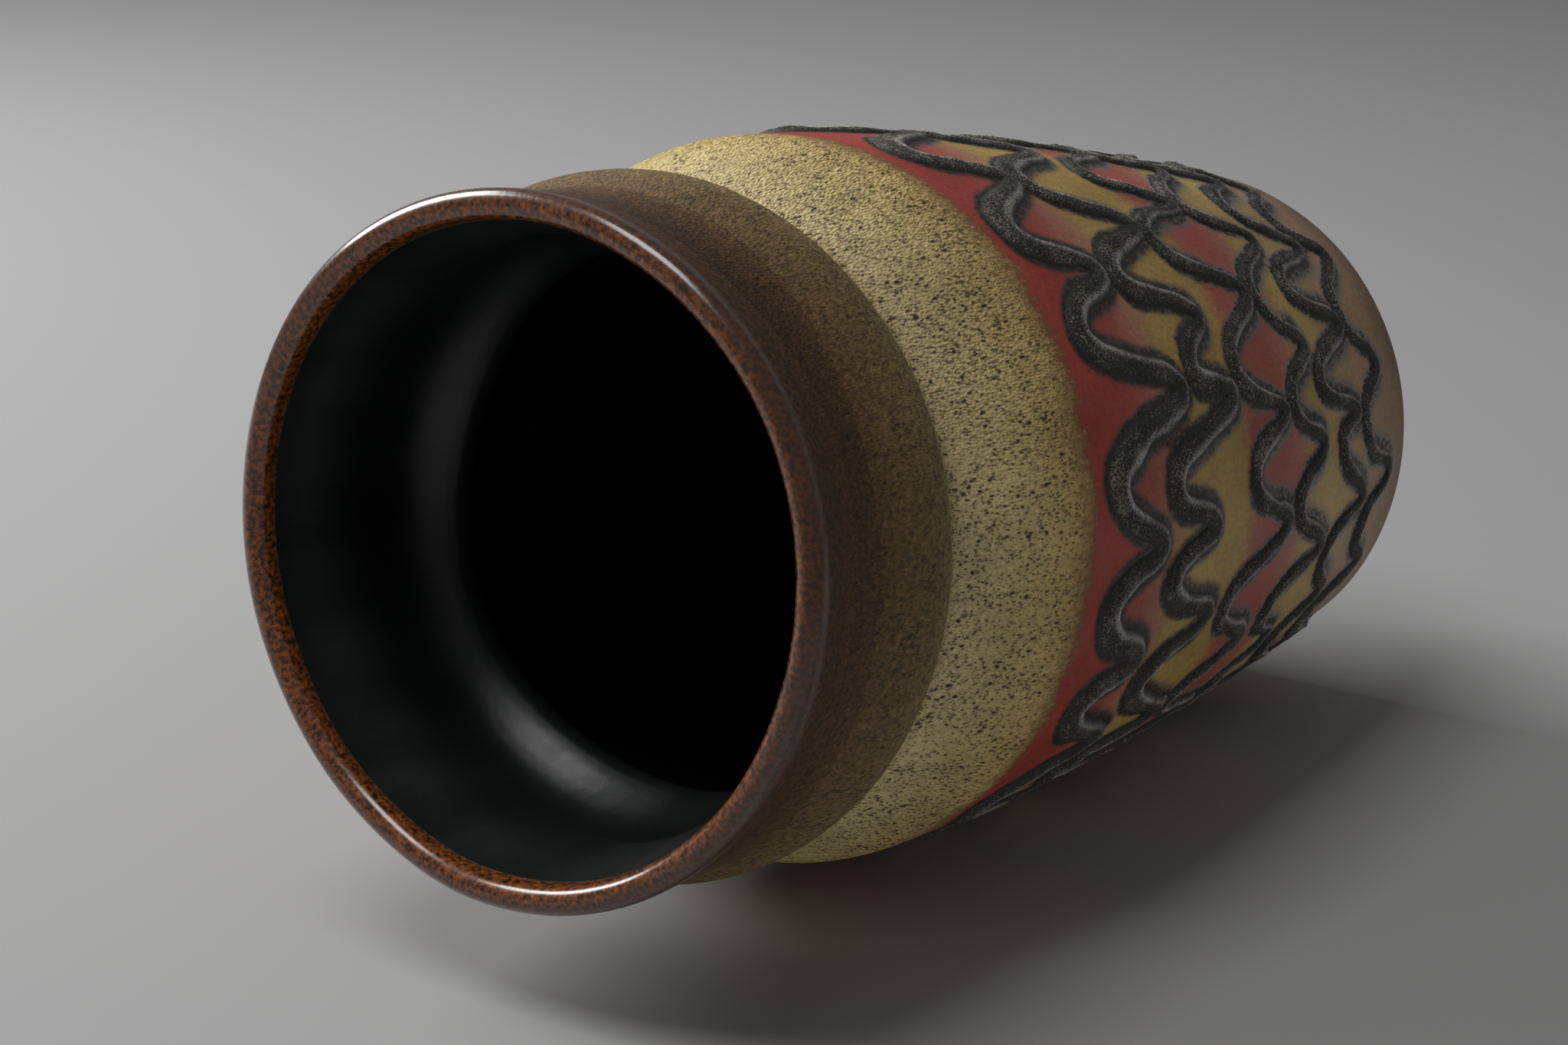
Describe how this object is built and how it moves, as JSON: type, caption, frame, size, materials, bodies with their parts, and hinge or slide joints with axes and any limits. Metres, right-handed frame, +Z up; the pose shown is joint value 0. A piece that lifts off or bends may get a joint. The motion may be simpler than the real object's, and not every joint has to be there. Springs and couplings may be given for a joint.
{
  "type": "fat lava vase",
  "caption": "Wide-mouthed stoneware vase with a collared neck, speckled ochre shoulder, red and ochre bands and raised black lava glaze trails.",
  "frame": {"origin": "centre of the foot, on the plane the vase stands on", "axes": "+Z up along the vase's axis from the foot to the mouth; X and Y lie in the standing plane, with no front of their own"},
  "size_m": [0.1141, 0.1142, 0.2],
  "materials": {
    "fired_clay": "matte",
    "black_lining": "satin",
    "brown_gloss": "gloss",
    "olive_brown": "satin",
    "speckled_yellow": "matte",
    "coral_red": "satin",
    "ochre_yellow": "satin",
    "rose_brown": "satin",
    "foot_brown": "satin",
    "lava_black": "matte"
  },
  "bodies": {
    "root": {"clay_body": "fired_clay", "inner_glaze": "black_lining", "lip_glaze": "brown_gloss", "collar_glaze": "olive_brown", "shoulder_glaze": "speckled_yellow", "upper_red_band": "coral_red", "upper_yellow_band": "ochre_yellow", "middle_red_band": "coral_red", "lower_yellow_band": "ochre_yellow", "rose_band": "rose_brown", "foot_glaze": "foot_brown", "lava_trail_1": "lava_black", "lava_trail_2": "lava_black", "lava_trail_3": "lava_black", "lava_trail_4": "lava_black", "lava_trail_5": "lava_black", "lava_trail_6": "lava_black"}
  },
  "joints": []
}
